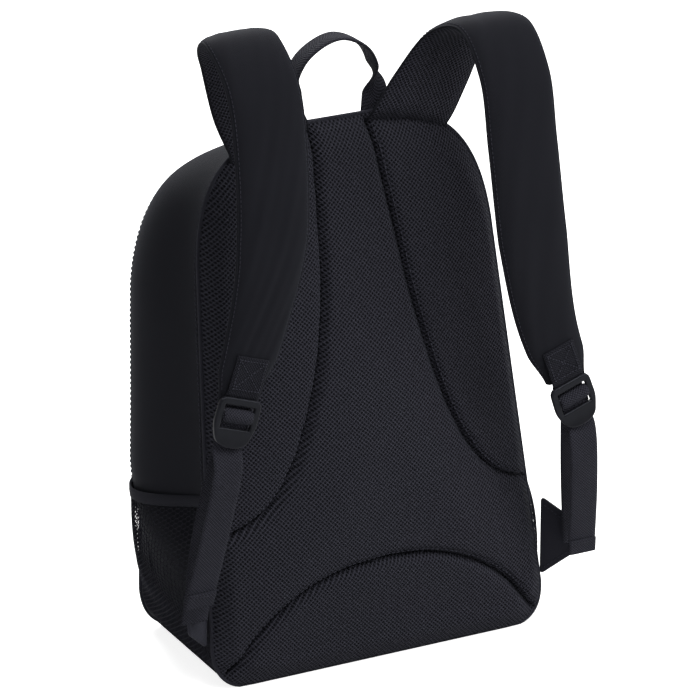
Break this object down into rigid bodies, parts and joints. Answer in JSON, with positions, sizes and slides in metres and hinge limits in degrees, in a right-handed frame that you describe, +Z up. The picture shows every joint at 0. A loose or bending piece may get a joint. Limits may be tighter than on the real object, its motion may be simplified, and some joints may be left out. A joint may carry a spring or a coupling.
{
  "type": "school backpack",
  "caption": "Padded school backpack with a wrap-round zip, front pocket, net side pockets, webbing haul loop and adjustable shoulder straps.",
  "frame": {"origin": "centre of the flat base", "axes": "+Z up, the padded back panel and its shoulder straps face -Y, the front pocket faces +Y"},
  "size_m": [0.371, 0.2638, 0.5339],
  "materials": {
    "cloth": "matte coated polyester",
    "mesh": "spacer air mesh",
    "webbing": "ribbed polyester webbing",
    "plastic": "satin moulded",
    "net": "open knitted net",
    "zip": "coil zip on woven tape",
    "lining": "light lining cloth"
  },
  "bodies": {
    "pack": {"back_panel": "cloth", "base_panel": "cloth", "lower_gusset_left": "cloth", "lower_gusset_right": "cloth", "upper_gusset": "cloth", "main_zip_tape_rear": "zip", "zip_end_patch_left": "cloth", "zip_end_patch_right": "cloth", "front_panel_lower": "cloth", "back_seam_piping": "cloth", "back_pad_wing_right": "mesh", "back_pad_wing_left": "mesh", "lumbar_pad": "mesh", "back_pad_centre": "mesh", "laptop_sleeve": "lining", "front_pocket": "cloth", "front_pocket_zip": "zip", "side_pocket_net_left": "net", "side_pocket_binding_left": "webbing", "side_pocket_net_right": "net", "side_pocket_binding_right": "webbing", "anchor_tab_left": "cloth", "lower_webbing_left": "webbing", "anchor_tab_right": "cloth", "lower_webbing_right": "webbing"},
    "haul_loop": {"haul_loop": "webbing"},
    "front_flap": {"front_flap": "cloth", "main_zip_tape_front": "zip"},
    "main_slider_left": {"main_zip_left_slider": "plastic"},
    "main_puller_left": {"main_zip_left_puller": "plastic"},
    "main_slider_right": {"main_zip_right_slider": "plastic"},
    "main_puller_right": {"main_zip_right_puller": "plastic"},
    "pocket_slider": {"front_pocket_zip_slider": "plastic"},
    "pocket_puller": {"front_pocket_zip_puller": "plastic"},
    "strap_left": {"shoulder_strap_left": "cloth", "strap_patch_left": "webbing", "buckle_loop_left": "webbing"},
    "buckle_left": {"ladder_lock_buckle_left": "plastic"},
    "tail_left": {"webbing_tail_left": "webbing"},
    "strap_right": {"shoulder_strap_right": "cloth", "strap_patch_right": "webbing", "buckle_loop_right": "webbing"},
    "buckle_right": {"ladder_lock_buckle_right": "plastic"},
    "tail_right": {"webbing_tail_right": "webbing"}
  },
  "joints": [
    {"name": "strap_left_swing", "type": "hinge", "parent": "pack", "child": "strap_left", "pos_m": [-0.064, 0.002, 0.436], "axis": [-1, 0, 0], "range_deg": [0, 14]},
    {"name": "buckle_left_tilt", "type": "hinge", "parent": "strap_left", "child": "buckle_left", "pos_m": [-0.14189, -0.10411, 0.25926], "axis": [-0.9511, 0.0126, 0.3088], "range_deg": [0, 30]},
    {"name": "tail_left_pull", "type": "slide", "parent": "buckle_left", "child": "tail_left", "axis": [-0.1679, 0.1119, -0.9794], "range_m": [0, 0.03]},
    {"name": "strap_right_swing", "type": "hinge", "parent": "pack", "child": "strap_right", "pos_m": [0.064, 0.002, 0.436], "axis": [-1, 0, 0], "range_deg": [0, 14]},
    {"name": "buckle_right_tilt", "type": "hinge", "parent": "strap_right", "child": "buckle_right", "pos_m": [0.14183, -0.1041, 0.21323], "axis": [-0.9578, -0.0106, -0.2872], "range_deg": [0, 30]},
    {"name": "tail_right_pull", "type": "slide", "parent": "buckle_right", "child": "tail_right", "axis": [0.0797, 0.1276, -0.9886], "range_m": [0, 0.03]},
    {"name": "haul_loop_fold", "type": "hinge", "parent": "pack", "child": "haul_loop", "pos_m": [0, 0.021, 0.436], "axis": [-1, 0, 0], "range_deg": [0, 65]},
    {"name": "front_flap_open", "type": "hinge", "parent": "pack", "child": "front_flap", "pos_m": [0, 0.12625, 0.19], "axis": [-1, 0, 0], "range_deg": [0, 50]},
    {"name": "main_zip_left_travel", "type": "slide", "parent": "front_flap", "child": "main_slider_left", "axis": [-1, 0, 0], "range_m": [0, 0.045]},
    {"name": "main_zip_left_puller_swing", "type": "hinge", "parent": "main_slider_left", "child": "main_puller_left", "pos_m": [-0.009, 0.11977, 0.37539], "axis": [1, 0, 0], "range_deg": [0, 110]},
    {"name": "main_zip_right_travel", "type": "slide", "parent": "front_flap", "child": "main_slider_right", "axis": [1, 0, 0], "range_m": [0, 0.045]},
    {"name": "main_zip_right_puller_swing", "type": "hinge", "parent": "main_slider_right", "child": "main_puller_right", "pos_m": [0.009, 0.11977, 0.37539], "axis": [1, 0, 0], "range_deg": [0, 110]},
    {"name": "front_pocket_zip_travel", "type": "slide", "parent": "pack", "child": "pocket_slider", "axis": [1, 0, 0], "range_m": [0, 0.144]},
    {"name": "front_pocket_puller_swing", "type": "hinge", "parent": "pocket_slider", "child": "pocket_puller", "pos_m": [-0.072, 0.1394, 0.1781], "axis": [1, 0, 0], "range_deg": [0, 110]}
  ]
}
